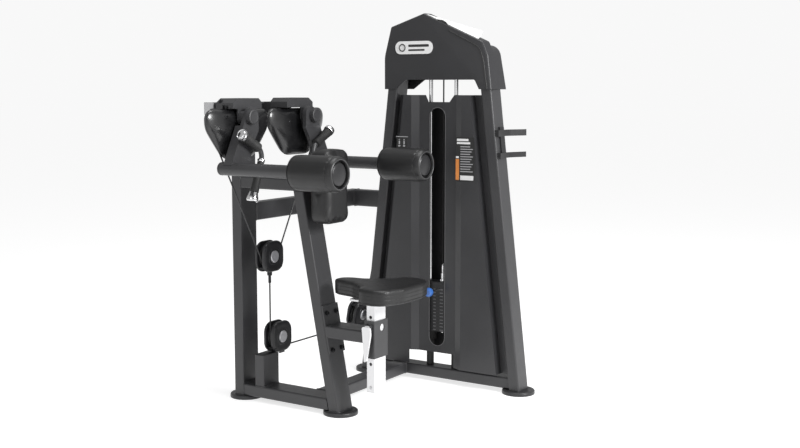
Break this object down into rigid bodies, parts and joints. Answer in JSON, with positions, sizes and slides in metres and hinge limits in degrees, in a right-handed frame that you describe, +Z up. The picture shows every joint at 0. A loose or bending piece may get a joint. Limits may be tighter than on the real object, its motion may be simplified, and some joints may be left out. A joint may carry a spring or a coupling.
{
  "type": "seated lateral raise machine",
  "caption": "Selectorised seated lateral raise machine: seat, chest pad, twin pivoting arms with roller pads and grips, floating pulley, cables and a hooded side weight tower.",
  "frame": {"origin": "centre of the whole machine's footprint box, on the floor", "axes": "+Z up; -X the way the seated user faces; +Y towards the weight tower, which is at the user's right"},
  "size_m": [1.0097, 1.0954, 1.4993],
  "materials": {
    "frame": "satin charcoal powder coat",
    "foot": "satin charcoal powder coat",
    "shield": "satin charcoal sheet",
    "hood": "fine texture",
    "rod": "polished",
    "bumper": "matte",
    "iron": "black paint",
    "holder": "satin black",
    "cable": "black sleeved wire rope",
    "guard": "satin",
    "wheel": "satin",
    "gloss": "gloss black",
    "cam": "satin",
    "bolt": "black oxide",
    "sleeve": "satin charcoal powder coat",
    "post": "bright",
    "vinyl": "black upholstery vinyl",
    "grip": "matte",
    "chrome": "polished",
    "knob": "blue"
  },
  "bodies": {
    "root": {"rear_upright": "frame", "front_upright": "frame", "base_rails_front": "frame", "base_rail_tower": "frame", "upper_beam_front": "frame", "upper_beam_side": "frame", "upper_beam_back": "frame", "top_crossbar": "frame", "floor_feet": "foot", "tower_column_left": "frame", "tower_column_right": "frame", "shield_left": "shield", "shield_right": "shield", "shield_rear": "shield", "hood_front": "hood", "hood_rear": "hood", "guide_rods": "rod", "stack_bumpers": "bumper", "weight_plates": "iron", "top_pulley_bracket": "frame", "accessory_holder": "holder", "cable_stack_fixed": "cable", "pulley_guards": "guard", "cam_guard_left": "gloss", "cam_guard_right": "gloss", "pivot_brackets": "frame", "seat_arm": "frame", "frame_bolts": "bolt", "seat_sleeve": "sleeve", "pad_plate": "bolt", "chest_pad": "vinyl"},
    "floating_pulley": {"float_guard": "guard", "cable_arms": "cable", "cable_stack_front": "cable"},
    "float_wheel": {"wheel_float": "wheel"},
    "lower_wheel": {"wheel_lower": "wheel"},
    "tower_wheel": {"wheel_tower": "wheel"},
    "top_outer_wheel": {"wheel_top_outer": "wheel"},
    "top_inner_wheel": {"wheel_top_inner": "wheel"},
    "weight_carriage": {"lifted_plates": "iron", "selector_stem": "rod", "cable_stack_drop": "cable"},
    "weight_pin": {"selector_pin": "rod", "selector_knob": "knob"},
    "seat": {"seat_post": "post", "seat_cushion": "vinyl"},
    "seat_catch": {"seat_lever": "post"},
    "seat_lock": {"seat_lock_pin": "rod"},
    "arm_left": {"arm_tube_left": "frame", "arm_lever_left": "frame", "arm_cam_left": "cam", "handle_grips_left": "grip", "handle_caps_left": "chrome"},
    "arm_roller_left": {"roller_left": "vinyl"},
    "arm_right": {"arm_tube_right": "frame", "arm_lever_right": "frame", "arm_cam_right": "cam", "handle_grips_right": "grip", "handle_caps_right": "chrome"},
    "arm_roller_right": {"roller_right": "vinyl"}
  },
  "joints": [
    {"name": "arm_left_lift", "type": "hinge", "parent": "root", "child": "arm_left", "pos_m": [-0.32, -0.393, 1.1], "axis": [-1, 0, 0], "range_deg": [0, 65]},
    {"name": "arm_right_lift", "type": "hinge", "parent": "root", "child": "arm_right", "pos_m": [-0.32, -0.017, 1.1], "axis": [1, 0, 0], "range_deg": [0, 65]},
    {"name": "roller_left_spin", "type": "hinge", "parent": "arm_left", "child": "arm_roller_left", "pos_m": [0.12, -0.48, 0.917], "axis": [1, 0, 0], "continuous": true},
    {"name": "roller_right_spin", "type": "hinge", "parent": "arm_right", "child": "arm_roller_right", "pos_m": [0.12, 0.07, 0.917], "axis": [1, 0, 0], "continuous": true},
    {"name": "floating_pulley_lift", "type": "slide", "parent": "root", "child": "floating_pulley", "axis": [0, 0, 1], "range_m": [0, 0.186], "deforming": ["cable_arms", "cable_stack_front"]},
    {"name": "float_wheel_spin", "type": "hinge", "parent": "floating_pulley", "child": "float_wheel", "pos_m": [-0.318, -0.205, 0.566], "axis": [1, 0, 0], "continuous": true},
    {"name": "lower_wheel_spin", "type": "hinge", "parent": "root", "child": "lower_wheel", "pos_m": [-0.318, -0.16, 0.2475], "axis": [-1, 0, 0], "range_deg": [0, 237]},
    {"name": "tower_wheel_spin", "type": "hinge", "parent": "root", "child": "tower_wheel", "pos_m": [-0.31012, 0.37988, 0.2468], "axis": [-0.9845, 0, 0.1751], "range_deg": [0, 237]},
    {"name": "top_outer_wheel_spin", "type": "hinge", "parent": "root", "child": "top_outer_wheel", "pos_m": [-0.06951, 0.45944, 1.3552], "axis": [-0.2977, -0.95, 0.0942], "range_deg": [0, 237]},
    {"name": "top_inner_wheel_spin", "type": "hinge", "parent": "root", "child": "top_inner_wheel", "pos_m": [0.04356, 0.42845, 1.355], "axis": [-0.299, -0.9543, 0], "range_deg": [0, 237]},
    {"name": "weight_lift", "type": "slide", "parent": "root", "child": "weight_carriage", "axis": [0, 0, 1], "range_m": [0, 0.186], "deforming": ["cable_stack_drop"]},
    {"name": "weight_pin_slide", "type": "slide", "parent": "weight_carriage", "child": "weight_pin", "axis": [0, -1, 0], "range_m": [0, 0.115]},
    {"name": "seat_slide", "type": "slide", "parent": "root", "child": "seat", "axis": [0, 0, 1], "range_m": [0, 0.172]},
    {"name": "seat_lever_swing", "type": "hinge", "parent": "root", "child": "seat_catch", "pos_m": [0.1735, -0.257, 0.352], "axis": [-1, 0, 0], "range_deg": [0, 25], "stiffness_Nm_per_rad": 0.8, "springref_deg": -17.19},
    {"name": "seat_lock_slide", "type": "slide", "parent": "root", "child": "seat_lock", "axis": [0, -1, 0], "range_m": [0, 0.0125]}
  ],
  "couplings": [
    {"joint": "arm_right_lift", "follows": "arm_left_lift", "ratio": 1},
    {"joint": "floating_pulley_lift", "follows": "arm_left_lift", "m_per_rad": 0.1637},
    {"joint": "weight_lift", "follows": "arm_left_lift", "m_per_rad": 0.1637},
    {"joint": "lower_wheel_spin", "follows": "arm_left_lift", "ratio": 3.6378},
    {"joint": "tower_wheel_spin", "follows": "arm_left_lift", "ratio": 3.6378},
    {"joint": "top_outer_wheel_spin", "follows": "arm_left_lift", "ratio": 3.6378},
    {"joint": "top_inner_wheel_spin", "follows": "arm_left_lift", "ratio": 3.6378},
    {"joint": "seat_lock_slide", "follows": "seat_lever_swing", "m_per_rad": 0.0275}
  ]
}
